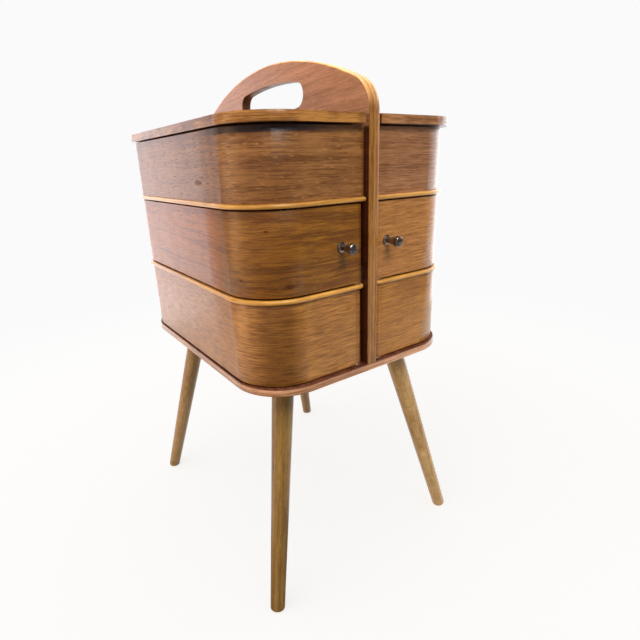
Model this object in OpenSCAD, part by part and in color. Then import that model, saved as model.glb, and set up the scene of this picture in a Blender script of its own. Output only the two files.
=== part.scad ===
// Sewing box on splayed legs, with a handle panel, two lids and four swing trays.
// X runs across the panel, Y runs along it, Z is up and the floor is at zero.

/* [Centre panel and handle] */
// Thickness of the centre panel
panel_t = 14; // [12:0.5:18]
// Angle at which the panel's front and rear edges lean out
panel_lean = 0.6; // [0:0.1:1.5]
// Height of the handle's crown above the lids
handle_h = 76; // [65:0.2:95]
// Radius of the crown of the handle
crown_r = 436; // [380:4:600]
// Radius of the handle's two shoulders
shoulder_r = 39; // [25:1:60]
// Length of the hand hole
hole_l = 161; // [120:1:180]
// Height of the hand hole at its middle
hole_h = 38.5; // [34.5:0.5:42]
// Radius of the hand hole's two long sides
hole_side_r = 480; // [400:10:700]
// Height of the bottom of the hand hole above the lids
hole_lift = 14; // [10:0.5:20]

/* [Trays] */
// Width over the walls of a pair of trays
body_w = 305; // [280:1:330]
// Depth of a tray over its walls
body_d = 386; // [360:1:420]
// Radius of the bent outer corners
corner_r = 60; // [40:1:75]
// Thickness of the bent plywood walls
wall_t = 6; // [5:0.5:7]
// Height of the bottom trays
bottom_h = 101.2; // [80:0.2:120]
// Height of the middle trays
middle_h = 90.6; // [70:0.2:110]
// Height of the top trays
top_h = 78; // [60:0.5:100]
// Thickness of the tray floors
floor_t = 4; // [3:0.5:6]
// Height of a floor above the lower edge of its walls
floor_lift = 3; // [2:0.5:5]
// Clear height between one tray and the next, and under the lids
seam = 1.8; // [1.6:0.1:2.6]
// Gap between a swing tray and the panel
swing_gap = 4.5; // [4.2:0.1:6]

/* [Corner posts and beads] */
// Radius of the rounded corner that turns beside the panel
pivot_r = 5.5; // [5:0.1:6.5]
// Width of the post that shows at the end of a wall without a pivot
end_lip = 4; // [3:0.5:6]
// Radius that rounds the outer corner of such a post
end_round = 2.5; // [0.5:0.1:3]
// Size of a post along the wall
post_w = 22; // [18:1:28]
// Size of a post behind the wall
post_d = 14; // [12:1:20]
// Height of the half-round beads
bead_h = 5; // [4:0.2:6]
// Distance that the beads stand out from the walls
bead_out = 4; // [3:0.1:4.2]
// Gap between the top trays' beads and the panel
bead_gap = 1.5; // [0.5:0.1:3]

/* [Pivots] */
// Diameter of the steel pivot rods
rod_d = 5; // [4:0.1:5.4]
// Distance of a rod from the face of the panel
rod_off = 10; // [9.8:0.1:12]
// Wood left between a rod's bore and the end of the bent wall
rod_wood = 1; // [0.6:0.1:2]
// Depth of the rod's seat in the base plate
rod_seat = 7; // [5:0.5:8]
// Depth of the rod's seat in a top tray's post
rod_top_seat = 25; // [15:1:40]
// Outer diameter of the pivot washers
washer_d = 12; // [10:0.5:14]
// Length of a pivot bracket along the panel
bracket_l = 22; // [20:1:30]
// Height of a pivot bracket's flange
bracket_h = 20; // [16:1:26]
// Thickness of the brackets and hinge leaves
plate_t = 1.2; // [1:0.1:1.3]

/* [Lids] */
// Thickness of the lids
lid_t = 10; // [8:0.5:14]
// Overhang of a lid at the side
lid_over_side = 2.5; // [1:0.5:8]
// Overhang of a lid at the front and the back
lid_over_end = 7.5; // [5:0.5:15]
// Radius of the lids' outer corners
lid_r = 57; // [40:1:70]
// Gap between a lid and the panel
lid_gap = 4; // [3.6:0.1:5]
// Distance of each lid hinge from the middle of the lid
hinge_y = 120; // [60:1:130]
// Length of a lid hinge
hinge_l = 40; // [30:1:50]
// Radius of a hinge knuckle
knuckle_r = 2.2; // [1.9:0.05:2.3]
// Diameter of a hinge pin
pin_d = 2; // [1.6:0.1:2.2]

/* [Base and legs] */
// Thickness of the base plate
base_t = 9; // [8:0.5:14]
// Overhang of the base plate at the side
base_over_side = 2; // [1:0.5:8]
// Overhang of the base plate at the front and the back
base_over_end = 5.5; // [4:0.5:12]
// Radius of the base plate's corners
base_r = 64; // [40:1:75]
// Thickness of the edging strips
edging_t = 1.5; // [1:0.1:2]
// Height of the underside of the base plate
leg_h = 292; // [200:1:340]
// Distance of a foot's centre from the middle, across the panel
foot_x = 156; // [120:1:165]
// Distance of a foot's centre from the middle, along the panel
foot_y = 192; // [150:1:205]
// Distance of a leg's head from the middle, across the panel
head_x = 91.5; // [70:0.5:105]
// Distance of a leg's head from the middle, along the panel
head_y = 134.5; // [100:0.5:145]
// Diameter of a leg at the floor
foot_d = 18.5; // [14:0.5:24]
// Diameter of a leg at its head
head_d = 29; // [24:0.5:34]
// Radius that rounds a foot's rim
foot_round = 3; // [1:0.5:4]
// Length of a leg's round end that is sawn off level with the floor
foot_sawn = 1.5; // [0.5:0.5:4]
// Width of the bevelled blocks that carry the legs
block_w = 56; // [44:1:64]
// Thickness of a block under the middle of its leg
block_t = 14; // [12:0.5:18]
// Diameter of the leg bolts
bolt_d = 8; // [6:0.5:10]
// Length of a leg bolt inside the leg
bolt_in_leg = 35; // [25:1:50]

/* [Knobs and screws] */
// Distance of the left trays' knobs from the middle of the panel
left_knob_x = 41.5; // [24:0.5:60]
// Distance of the right trays' knobs from the middle of the panel
right_knob_x = 27.5; // [24:0.5:60]
// Length of a knob
knob_l = 22; // [18:0.5:28]
// Diameter of a knob's head and foot
knob_d = 12; // [10:0.5:16]
// Diameter of a knob's waist
knob_waist_d = 6.6; // [5:0.2:8]
// Diameter of the knob screws
knob_screw_d = 3.5; // [3:0.5:4.5]
// Diameter of the small countersunk screws
screw_d = 2.6; // [2:0.2:3]
// Length of the small screws in the panel
side_screw_l = 6; // [4:0.5:6.5]
// Length of the screws in the lids
lid_screw_l = 13; // [8:0.5:18]
// Diameter of the screws that hold the panel
panel_screw_d = 4; // [3:0.5:5]
// Length of the screws that hold the panel
panel_screw_l = 36; // [25:1:50]

/* [Hidden] */

$fn = 96;

left = -1;
right = 1;
front = -1;
rear = 1;

// Clearances: a running fit, a fixed seat, and the space left at moving faces
run_fit = 0.05;
seat_fit = 0.02;
face_fit = 0.3;
// Amount by which a cutting tool runs past what it cuts
past = 1;

face_x = panel_t / 2;
half_w = body_w / 2;
half_d = body_d / 2;
panel_half_d = half_d + base_over_end;

z_base = leg_h;
z_base_top = z_base + base_t;
z_bottom = z_base_top + seam;
z_bottom_rim = z_bottom + bottom_h;
z_middle = z_bottom_rim + seam;
z_middle_rim = z_middle + middle_h;
z_top = z_middle_rim + seam;
z_lid = z_top + top_h + seam;
z_lid_top = z_lid + lid_t;
z_crown = z_lid_top + handle_h;

rod_x = face_x + rod_off;
rod_y = half_d - pivot_r;
shell_end_x = rod_x + rod_d / 2 + run_fit + rod_wood;

// The bracket's tab lies in the seam over the bottom trays
z_tab = z_bottom_rim + face_fit;
tab_t = seam - 2 * face_fit;
washer_t = seam - face_fit;
bracket_inner_y = rod_y - bracket_l;

// A countersunk head is as deep as the plate that it sits in
sink_depth = plate_t - 0.1;
sink_d = screw_d + 2 * sink_depth;

// The hinge axis stands clear of the panel and of the lid
axis_x = face_x + knuckle_r + face_fit;
axis_z = z_lid_top + knuckle_r + face_fit;
leaf_top = axis_z - knuckle_r - 0.4;
knuckle_count = 5;
knuckle_l = hinge_l / knuckle_count;
knuckle_play = 0.1;
hinge_screws_y = [-0.35 * hinge_l, 0, 0.35 * hinge_l];

panel_screws_y = [-160, -60, 60, 160];

// Places of the two screws along a bracket, and their height up its flange, as shares of both
bracket_screws_l = [0.25, 0.6];
bracket_screws_h = 0.65;

// Wood left over the hole for a leg bolt, and the play at both ends of the bolt
bolt_cover = 2;
bolt_play = 1;

// A leg leans from its foot up to its head under the base plate
lean_x = foot_x - head_x;
lean_y = foot_y - head_y;
leg_l = norm([lean_x, lean_y, leg_h]);
leg_splay = acos(leg_h / leg_l);
leg_turn = atan2(lean_y, lean_x);
leg_seat = leg_l - block_t;

walnut = "#8a4f24";
walnut_dark = "#7a4526";
edge_brown = "#a8703a";
bead_gold = "#d49a4e";
beech = "#8a6a38";
birch = "#d9bf8f";
bronze = "#3d322c";
steel = "#b8b8b4";
brass = "#b08d4a";

// Left pieces are drawn at negative X; right ones are their mirror image
module on_side(side) {
    if (side == right)
        mirror([1, 0, 0]) children();
    else
        children();
}

// Outlines

// Half of a rounded plate: outer corners rounded, straight at x = -inner_x
module half_plate(hw, hd, r, inner_x) {
    translate([-hw, r - hd])
        square([r, 2 * (hd - r)]);
    translate([r - hw, -hd])
        square([hw - r - inner_x, 2 * hd]);
    for (end = [front, rear])
        translate([r - hw, end * (hd - r)])
            circle(r);
}

module full_plate(hw, hd, r) {
    for (side = [left, right])
        on_side(side)
            half_plate(hw, hd, r, 0);
}

// The part of a wide circle that lies between two rays through the ends of a base line
// at y = base_y; the base line reaches half_l to both sides and the circle's centre is below it
module crown_sector(r, centre_y, half_l, base_y) {
    past_rim = 1.1 * r / norm([half_l, base_y - centre_y]);
    intersection() {
        translate([0, centre_y])
            circle(r, $fn = 360);
        polygon([
            [-half_l, base_y],
            [half_l, base_y],
            [half_l * past_rim, centre_y + (base_y - centre_y) * past_rim],
            [-half_l * past_rim, centre_y + (base_y - centre_y) * past_rim]
        ]);
    }
}

// The panel stands on y = 0. Its sides lean out, and each round shoulder touches a side and
// the wide crown, which gives a quadratic equation for the height of the shoulder's centre
module panel_outline(inset) {
    foot = panel_half_d - inset / cos(panel_lean);
    r = shoulder_r - inset;
    crown = crown_r - inset;
    crown_y = z_crown - z_base_top - crown_r;
    slope = tan(panel_lean);
    start = foot - r / cos(panel_lean);
    a = 1 + pow(slope, 2);
    b = start * slope - crown_y;
    c = pow(start, 2) + pow(crown_y, 2) - pow(crown - r, 2);
    shoulder_y = (sqrt(pow(b, 2) - a * c) - b) / a;
    shoulder_x = start + shoulder_y * slope;
    side_x = shoulder_x + r * cos(panel_lean);
    side_y = shoulder_y - r * sin(panel_lean);
    polygon([
        [-foot, 0],
        [foot, 0],
        [side_x, side_y],
        [shoulder_x, shoulder_y],
        [-shoulder_x, shoulder_y],
        [-side_x, side_y]
    ]);
    crown_sector(crown, crown_y, shoulder_x, shoulder_y);
    for (end = [-1, 1])
        translate([end * shoulder_x, shoulder_y])
            circle(r);
}

// The hand hole has two long bowed sides and round ends that touch both of them
module hand_hole() {
    side_y = hole_h / 2 - hole_side_r;
    end_r = (pow(hole_side_r, 2) - pow(side_y, 2) - pow(hole_l / 2, 2)) / (2 * hole_side_r - hole_l);
    end_x = hole_l / 2 - end_r;
    translate([0, z_lid_top + hole_lift + hole_h / 2 - z_base_top]) {
        for (half = [0, 1])
            mirror([0, half, 0])
                crown_sector(hole_side_r, side_y, end_x, 0);
        for (end = [-1, 1])
            translate([end * end_x, 0])
                circle(end_r);
    }
}

// Turns a drawing in the Y-Z plane into a board that is centred on the panel
module upright(t) {
    translate([0, 0, z_base_top])
        rotate([90, 0, 90])
            linear_extrude(t, center = true)
                children();
}

// Screws and their holes

// A slot across a screw's head, which faces down at z = 0
module slot_cut(head_d, w, depth) {
    translate([-head_d, -w / 2, -past])
        cube([2 * head_d, w, depth + past]);
}

module countersunk(d, head_d, head_h, l) {
    difference() {
        union() {
            cylinder(h = head_h, d1 = head_d, d2 = d);
            cylinder(h = l, d = d);
        }
        slot_cut(head_d, d / 4, head_h / 3);
    }
}

// Places a child at each small screw in the panel, pointing into the panel
module at_side_screws() {
    for (side = [left, right])
        on_side(side) {
            for (end = [front, rear], y = hinge_screws_y)
                translate([-face_x - plate_t, end * hinge_y + y, z_lid + lid_t / 2])
                    rotate([0, 90, 0])
                        children();
            for (end = [front, rear], place = bracket_screws_l)
                translate([
                    -face_x - plate_t,
                    end * (bracket_inner_y + place * bracket_l),
                    z_tab + bracket_screws_h * bracket_h
                ])
                    rotate([0, 90, 0])
                        children();
        }
}

// Places a child at each screw of one lid, pointing into the lid
module at_lid_screws() {
    for (end = [front, rear], y = hinge_screws_y)
        translate([-face_x - lid_gap + plate_t, end * hinge_y + y, z_lid + lid_t / 2])
            rotate([0, -90, 0])
                children();
}

module at_panel_screws() {
    for (y = panel_screws_y)
        translate([0, y, z_base])
            children();
}

module side_screws() {
    color(steel)
        at_side_screws()
            countersunk(screw_d, sink_d, sink_depth, side_screw_l + plate_t);
}

module lid_screws(side) {
    color(steel)
        on_side(side)
            at_lid_screws()
                countersunk(screw_d, sink_d, sink_depth, lid_screw_l);
}

module panel_screws() {
    color(steel)
        at_panel_screws()
            countersunk(panel_screw_d, 2 * panel_screw_d, panel_screw_d / 2, panel_screw_l);
}

module small_screw_hole(l) {
    translate([0, 0, -past])
        cylinder(h = l + past + seat_fit, d = screw_d + 2 * seat_fit);
}

module plate_screw_hole() {
    translate([0, 0, -seat_fit])
        cylinder(h = sink_depth + seat_fit, d1 = sink_d + 4 * seat_fit, d2 = screw_d + 2 * seat_fit);
    translate([0, 0, -past])
        cylinder(h = 3 * plate_t, d = screw_d + 2 * seat_fit);
}

// Base plate and legs

module base_plate() {
    color(walnut)
        difference() {
            translate([0, 0, z_base])
                linear_extrude(base_t)
                    full_plate(
                        half_w + base_over_side - edging_t,
                        half_d + base_over_end - edging_t,
                        base_r - edging_t
                    );
            for (side = [left, right])
                translate([side * rod_x, front * rod_y, z_base_top - rod_seat])
                    cylinder(h = rod_seat + past, d = rod_d + 2 * seat_fit);
            at_panel_screws() {
                translate([0, 0, -seat_fit])
                    cylinder(
                        h = panel_screw_d / 2 + seat_fit,
                        d1 = 2 * panel_screw_d + 4 * seat_fit,
                        d2 = panel_screw_d + 2 * seat_fit
                    );
                translate([0, 0, -past])
                    cylinder(h = base_t + 2 * past, d = panel_screw_d + 2 * seat_fit);
            }
        }
}

module base_edging() {
    color(edge_brown)
        translate([0, 0, z_base])
            linear_extrude(base_t)
                difference() {
                    full_plate(half_w + base_over_side, half_d + base_over_end, base_r);
                    full_plate(
                        half_w + base_over_side - edging_t,
                        half_d + base_over_end - edging_t,
                        base_r - edging_t
                    );
                }
}

// Puts a child, drawn along +Z from the foot, on the leg in the given quarter
module on_leg(side, end) {
    mirror([side == left ? 1 : 0, 0, 0])
        mirror([0, end == front ? 1 : 0, 0])
            translate([foot_x, foot_y, 0])
                rotate([0, -leg_splay, leg_turn])
                    children();
}

module leg_bolt() {
    translate([0, 0, leg_seat - bolt_in_leg])
        cylinder(h = bolt_in_leg + block_t - bolt_cover - bolt_play, d = bolt_d);
}

module leg_bolt_hole() {
    translate([0, 0, leg_seat - bolt_in_leg - bolt_play])
        cylinder(h = bolt_in_leg + bolt_play + block_t - bolt_cover, d = bolt_d + 2 * seat_fit);
}

function leg_radius(z) = (foot_d + (head_d - foot_d) * z / leg_l) / 2;

module leg(side, end) {
    tip = -foot_sawn;
    tip_r = leg_radius(tip);
    color(beech)
        intersection() {
            on_leg(side, end)
                difference() {
                    rotate_extrude()
                        polygon(concat(
                            [[0, leg_seat], [0, tip]],
                            [for (a = [0:15:90]) [
                                tip_r - foot_round * (1 - sin(a)),
                                tip + foot_round * (1 - cos(a))
                            ]],
                            [[leg_radius(leg_seat), leg_seat]]
                        ));
                    leg_bolt_hole();
                }
            translate([-body_w, -body_d, 0])
                cube([2 * body_w, 2 * body_d, leg_h]);
        }
}

module leg_blocks() {
    color(birch)
        for (side = [left, right], end = [front, rear])
            difference() {
                intersection() {
                    translate([side * head_x - block_w / 2, end * head_y - block_w / 2, z_base - 3 * block_t])
                        cube([block_w, block_w, 3 * block_t]);
                    on_leg(side, end)
                        translate([-block_w, -block_w, leg_seat])
                            cube([2 * block_w, 2 * block_w, 3 * block_t]);
                }
                on_leg(side, end)
                    leg_bolt_hole();
            }
}

module leg_bolts() {
    color(steel)
        for (side = [left, right], end = [front, rear])
            on_leg(side, end)
                leg_bolt();
}

// Centre panel

module centre_panel() {
    color(walnut_dark)
        difference() {
            upright(panel_t)
                difference() {
                    panel_outline(edging_t);
                    hand_hole();
                }
            at_side_screws()
                translate([0, 0, plate_t - past])
                    cylinder(h = side_screw_l + past + seat_fit, d = screw_d + 2 * seat_fit);
            at_panel_screws()
                cylinder(h = panel_screw_l + seat_fit, d = panel_screw_d + 2 * seat_fit);
        }
}

module panel_edging() {
    color(edge_brown)
        upright(panel_t)
            difference() {
                panel_outline(0);
                panel_outline(edging_t);
            }
}

// Trays

// The bent wall, open beside the panel; it stops short of the posts' outer corners
module shell(side, gap, pivot, z, h) {
    inner_x = face_x + gap;
    reach = half_w + past;
    color(walnut)
        on_side(side)
            translate([0, 0, z])
                linear_extrude(h)
                    difference() {
                        half_plate(half_w, half_d, corner_r, inner_x);
                        half_plate(half_w - wall_t, half_d - wall_t, corner_r - wall_t, inner_x - past);
                        translate([-shell_end_x, pivot == front ? -half_d - past : 0])
                            square([reach, half_d + past]);
                        translate([-inner_x - end_lip, pivot == front ? 0 : -half_d - past])
                            square([reach, half_d + past]);
                    }
}

// One post in plan, at the rear end: lip is the width that shows in the wall, and
// the outer corner beside the panel is rounded about [-centre_x, centre_y]
module post_outline(inner_x, lip, r, centre_x, centre_y) {
    difference() {
        union() {
            translate([-inner_x - lip, half_d - wall_t])
                square([lip, wall_t]);
            translate([-inner_x - post_w, half_d - wall_t - post_d])
                square([post_w, post_d]);
        }
        translate([-centre_x, centre_y])
            difference() {
                square(2 * r);
                circle(r);
            }
    }
}

// The post at the end of a wall without a pivot
module end_outline(inner_x, lip) {
    post_outline(inner_x, lip, end_round, inner_x + end_round, half_d - end_round);
}

// The post that turns on a rod is rounded about the rod
module pivot_outline(inner_x) {
    post_outline(inner_x, shell_end_x - inner_x, pivot_r, rod_x, rod_y);
}

module flip_end(end) {
    mirror([0, end == front ? 1 : 0, 0])
        children();
}

module swing_posts(side, pivot, z, h) {
    inner_x = face_x + swing_gap;
    color(edge_brown)
        on_side(side)
            translate([0, 0, z]) {
                flip_end(pivot)
                    difference() {
                        linear_extrude(h)
                            pivot_outline(inner_x);
                        translate([-rod_x, rod_y, -past])
                            cylinder(h = h + 2 * past, d = rod_d + 2 * run_fit);
                    }
                difference() {
                    flip_end(-pivot)
                        linear_extrude(h)
                            end_outline(inner_x, end_lip);
                    knob_screw_hole(side, -pivot, h);
                }
            }
}

// The top trays' rear posts hold the upper ends of the middle trays' rods
module top_posts(side) {
    color(edge_brown)
        on_side(side)
            translate([0, 0, z_top]) {
                difference() {
                    linear_extrude(top_h)
                        end_outline(face_x, shell_end_x - face_x);
                    translate([-rod_x, rod_y, -past])
                        cylinder(h = rod_top_seat + past, d = rod_d + 2 * seat_fit);
                }
                flip_end(front)
                    linear_extrude(top_h)
                        end_outline(face_x, end_lip);
            }
}

module inner_board(side, z, h) {
    run = half_d - wall_t - post_d;
    color(birch)
        on_side(side)
            translate([-face_x - swing_gap - wall_t, -run, z])
                cube([wall_t, 2 * run, h]);
}

// A floor lies inside the walls and is notched round both posts
module tray_floor(side, gap, board_t, z) {
    color(birch)
        on_side(side)
            translate([0, 0, z + floor_lift])
                linear_extrude(floor_t)
                    difference() {
                        half_plate(
                            half_w - wall_t,
                            half_d - wall_t,
                            corner_r - wall_t,
                            face_x + gap + board_t
                        );
                        for (end = [front, rear])
                            flip_end(end)
                                end_outline(face_x + gap, end_lip);
                    }
}

// A bead in section: x is out from the wall, y is up
module bead_section() {
    flat = bead_out - bead_h / 2;
    translate([0, -bead_h / 2])
        square([flat, bead_h]);
    intersection() {
        translate([flat, 0])
            circle(d = bead_h);
        translate([0, -bead_h / 2])
            square([bead_out, bead_h]);
    }
}

// The bead runs from the rear end, round both outer corners, to front_x
module bead_run(rear_x, front_x) {
    for (end = [front, rear])
        flip_end(end) {
            translate([corner_r - half_w, half_d - corner_r, 0])
                rotate([0, 0, 90])
                    rotate_extrude(angle = 90)
                        translate([corner_r, 0])
                            bead_section();
            translate([corner_r - half_w, half_d, 0])
                rotate([90, 0, 90])
                    linear_extrude(half_w - corner_r - (end == front ? front_x : rear_x))
                        bead_section();
        }
    translate([-half_w, half_d - corner_r, 0])
        rotate([90, 0, 0])
            linear_extrude(2 * (half_d - corner_r))
                mirror([1, 0, 0])
                    bead_section();
}

module top_bead(side) {
    color(bead_gold)
        on_side(side)
            translate([0, 0, z_top + bead_h / 2])
                bead_run(face_x + bead_gap, face_x + bead_gap);
}

// The bottom trays' bead stops at the rounded free end, and turns the corner about the rod
module bottom_bead(side) {
    color(bead_gold)
        on_side(side)
            translate([0, 0, z_bottom_rim - bead_h / 2]) {
                bead_run(face_x + swing_gap + end_round, rod_x);
                translate([-rod_x, -rod_y, 0])
                    rotate([0, 0, -90])
                        rotate_extrude(angle = 90)
                            translate([pivot_r, 0])
                                bead_section();
            }
}

// Knobs

function knob_x(side) = side == left ? left_knob_x : right_knob_x;

// Wood behind a knob: the wall alone, or the wall with the post behind it
function knob_backing(side) =
    knob_x(side) - knob_screw_d < face_x + swing_gap + post_w ? wall_t + post_d : wall_t;

// Places a child on the outer face of a wall, its Z axis pointing out
module at_knob(side, end, h) {
    translate([-knob_x(side), end * half_d, h / 2])
        rotate([end == front ? 90 : -90, 0, 0])
            children();
}

module knob_screw_hole(side, end, h) {
    at_knob(side, end, h)
        translate([0, 0, -wall_t - post_d - past])
            cylinder(h = wall_t + post_d + 2 * past, d = knob_screw_d + 2 * seat_fit);
}

module knob(side, end, z, h) {
    r = knob_d / 2;
    waist_r = knob_waist_d / 2;
    foot_h = 0.09 * knob_l;
    head_h = 0.25 * knob_l;
    bevel = 0.8;
    thread_l = 0.5 * knob_l;
    color(bronze)
        on_side(side)
            translate([0, 0, z])
                at_knob(side, end, h)
                    difference() {
                        rotate_extrude()
                            polygon([
                                [0, 0],
                                [r, 0],
                                [r, foot_h * 0.6],
                                [r - 0.5, foot_h],
                                [waist_r + 0.6, foot_h + 0.5],
                                [waist_r, foot_h + 2],
                                [waist_r + 0.3, foot_h + 4.5],
                                [r - 0.9, knob_l - head_h - 0.6],
                                [r, knob_l - head_h],
                                [r, knob_l - bevel],
                                [r - bevel, knob_l],
                                [0, knob_l]
                            ]);
                        translate([0, 0, -past])
                            cylinder(h = thread_l + past, d = knob_screw_d + 2 * seat_fit);
                    }
}

module knob_screw(side, end, z, h) {
    thread_l = 0.45 * knob_l;
    head_h = 2.4;
    head_d = 1.9 * knob_screw_d;
    color(steel)
        on_side(side)
            translate([0, 0, z])
                at_knob(side, end, h)
                    translate([0, 0, -knob_backing(side) - head_h])
                        difference() {
                            union() {
                                cylinder(h = head_h, d1 = 1.5 * knob_screw_d, d2 = head_d);
                                cylinder(h = head_h + knob_backing(side) + thread_l, d = knob_screw_d);
                            }
                            slot_cut(head_d, knob_screw_d / 4, head_h / 3);
                        }
}

// Pivots

module at_rods(end) {
    for (side = [left, right])
        translate([side * rod_x, end * rod_y, 0])
            children();
}

module bottom_tray_rods() {
    z = z_base_top - rod_seat;
    color(steel)
        at_rods(front)
            translate([0, 0, z])
                cylinder(h = z_tab + tab_t - z, d = rod_d);
}

module middle_tray_rods() {
    color(steel)
        at_rods(rear)
            translate([0, 0, z_tab])
                cylinder(h = z_top + rod_top_seat - z_tab, d = rod_d);
}

module pivot_washers() {
    color(steel)
        for (place = [[front, z_base_top], [rear, z_top - washer_t]])
            at_rods(place[0])
                translate([0, 0, place[1]])
                    difference() {
                        cylinder(h = washer_t, d = washer_d);
                        translate([0, 0, -past])
                            cylinder(h = washer_t + 2 * past, d = rod_d + 2 * seat_fit);
                    }
}

// Each bracket is an angle: a tab in the seam holds a rod, a flange is screwed to the panel
module pivot_brackets() {
    color(steel)
        difference() {
            for (side = [left, right], end = [front, rear])
                on_side(side)
                    flip_end(end) {
                        translate([0, 0, z_tab])
                            linear_extrude(tab_t) {
                                translate([-rod_x, rod_y])
                                    circle(rod_d);
                                translate([-rod_x - rod_d, bracket_inner_y + bracket_l / 2])
                                    square([rod_off + rod_d, bracket_l / 2]);
                            }
                        translate([-face_x - plate_t, bracket_inner_y, z_tab])
                            cube([plate_t, bracket_l, bracket_h]);
                    }
            for (end = [front, rear])
                at_rods(end)
                    translate([0, 0, z_tab - past])
                        cylinder(h = tab_t + 2 * past, d = rod_d + 2 * seat_fit);
            at_side_screws()
                plate_screw_hole();
        }
}

// Lids and their hinges

module lid_board(side) {
    color(walnut)
        on_side(side)
            difference() {
                translate([0, 0, z_lid])
                    linear_extrude(lid_t)
                        half_plate(
                            half_w + lid_over_side - edging_t,
                            half_d + lid_over_end - edging_t,
                            lid_r - edging_t,
                            face_x + lid_gap
                        );
                at_lid_screws()
                    small_screw_hole(lid_screw_l);
            }
}

module lid_edging(side) {
    color(edge_brown)
        on_side(side)
            translate([0, 0, z_lid])
                linear_extrude(lid_t)
                    difference() {
                        half_plate(
                            half_w + lid_over_side,
                            half_d + lid_over_end,
                            lid_r,
                            face_x + lid_gap
                        );
                        half_plate(
                            half_w + lid_over_side - edging_t,
                            half_d + lid_over_end - edging_t,
                            lid_r - edging_t,
                            face_x + lid_gap - past
                        );
                    }
}

// One leaf with its knuckles, centred on y = 0: first is 0 for the panel's leaf, 1 for the lid's
module hinge_leaf(leaf_x, first) {
    difference() {
        union() {
            translate([leaf_x, -hinge_l / 2, z_lid])
                cube([plate_t, hinge_l, leaf_top - z_lid]);
            for (i = [first:2:knuckle_count - 1])
                translate([0, -hinge_l / 2 + i * knuckle_l + knuckle_play, 0]) {
                    translate([leaf_x, 0, z_lid])
                        cube([plate_t, knuckle_l - 2 * knuckle_play, axis_z - z_lid]);
                    translate([-axis_x, 0, axis_z])
                        rotate([-90, 0, 0])
                            cylinder(h = knuckle_l - 2 * knuckle_play, r = knuckle_r);
                }
        }
        translate([-axis_x, -hinge_l / 2 - past, axis_z])
            rotate([-90, 0, 0])
                cylinder(h = hinge_l + 2 * past, d = pin_d + 2 * run_fit);
    }
}

module hinge_panel_leaves() {
    color(brass)
        difference() {
            for (side = [left, right], end = [front, rear])
                on_side(side)
                    translate([0, end * hinge_y, 0])
                        hinge_leaf(-face_x - plate_t, 0);
            at_side_screws()
                plate_screw_hole();
        }
}

module lid_leaves(side) {
    color(brass)
        on_side(side)
            difference() {
                for (end = [front, rear])
                    translate([0, end * hinge_y, 0])
                        hinge_leaf(-face_x - lid_gap, 1);
                at_lid_screws()
                    plate_screw_hole();
            }
}

module hinge_pins() {
    color(steel)
        for (side = [left, right], end = [front, rear])
            translate([side * axis_x, end * hinge_y - hinge_l / 2, axis_z])
                rotate([-90, 0, 0])
                    cylinder(h = hinge_l, d = pin_d);
}

// Tray shells with a knob have a hole for its screw

module swing_shell(side, pivot, z, h) {
    difference() {
        shell(side, swing_gap, pivot, z, h);
        on_side(side)
            translate([0, 0, z])
                knob_screw_hole(side, -pivot, h);
    }
}

base_plate();
base_edging();
centre_panel();
panel_edging();
panel_screws();
leg(left, front);  // leg_front_left
leg(right, front);  // leg_front_right
leg(left, rear);  // leg_rear_left
leg(right, rear);  // leg_rear_right
leg_blocks();
leg_bolts();
shell(left, 0, rear, z_top, top_h);  // left_top_shell
top_posts(left);  // left_top_posts
tray_floor(left, 0, 0, z_top);  // left_top_floor
top_bead(left);  // left_top_bead
shell(right, 0, rear, z_top, top_h);  // right_top_shell
top_posts(right);  // right_top_posts
tray_floor(right, 0, 0, z_top);  // right_top_floor
top_bead(right);  // right_top_bead
pivot_brackets();
side_screws();
bottom_tray_rods();
middle_tray_rods();
pivot_washers();
hinge_panel_leaves();
hinge_pins();
lid_board(left);  // left_lid_board
lid_edging(left);  // left_lid_edging
lid_leaves(left);  // left_lid_leaves
lid_screws(left);  // left_lid_screws
lid_board(right);  // right_lid_board
lid_edging(right);  // right_lid_edging
lid_leaves(right);  // right_lid_leaves
lid_screws(right);  // right_lid_screws
swing_shell(left, rear, z_middle, middle_h);  // left_middle_shell
inner_board(left, z_middle, middle_h);  // left_middle_inner_board
swing_posts(left, rear, z_middle, middle_h);  // left_middle_posts
tray_floor(left, swing_gap, wall_t, z_middle);  // left_middle_floor
knob(left, front, z_middle, middle_h);  // left_middle_knob
knob_screw(left, front, z_middle, middle_h);  // left_middle_knob_screw
swing_shell(right, rear, z_middle, middle_h);  // right_middle_shell
inner_board(right, z_middle, middle_h);  // right_middle_inner_board
swing_posts(right, rear, z_middle, middle_h);  // right_middle_posts
tray_floor(right, swing_gap, wall_t, z_middle);  // right_middle_floor
knob(right, front, z_middle, middle_h);  // right_middle_knob
knob_screw(right, front, z_middle, middle_h);  // right_middle_knob_screw
swing_shell(left, front, z_bottom, bottom_h);  // left_bottom_shell
inner_board(left, z_bottom, bottom_h);  // left_bottom_inner_board
swing_posts(left, front, z_bottom, bottom_h);  // left_bottom_posts
tray_floor(left, swing_gap, wall_t, z_bottom);  // left_bottom_floor
bottom_bead(left);  // left_bottom_bead
knob(left, rear, z_bottom, bottom_h);  // left_bottom_knob
knob_screw(left, rear, z_bottom, bottom_h);  // left_bottom_knob_screw
swing_shell(right, front, z_bottom, bottom_h);  // right_bottom_shell
inner_board(right, z_bottom, bottom_h);  // right_bottom_inner_board
swing_posts(right, front, z_bottom, bottom_h);  // right_bottom_posts
tray_floor(right, swing_gap, wall_t, z_bottom);  // right_bottom_floor
bottom_bead(right);  // right_bottom_bead
knob(right, rear, z_bottom, bottom_h);  // right_bottom_knob
knob_screw(right, rear, z_bottom, bottom_h);  // right_bottom_knob_screw
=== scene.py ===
import math

import bpy
from mathutils import Matrix, Vector


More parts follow.
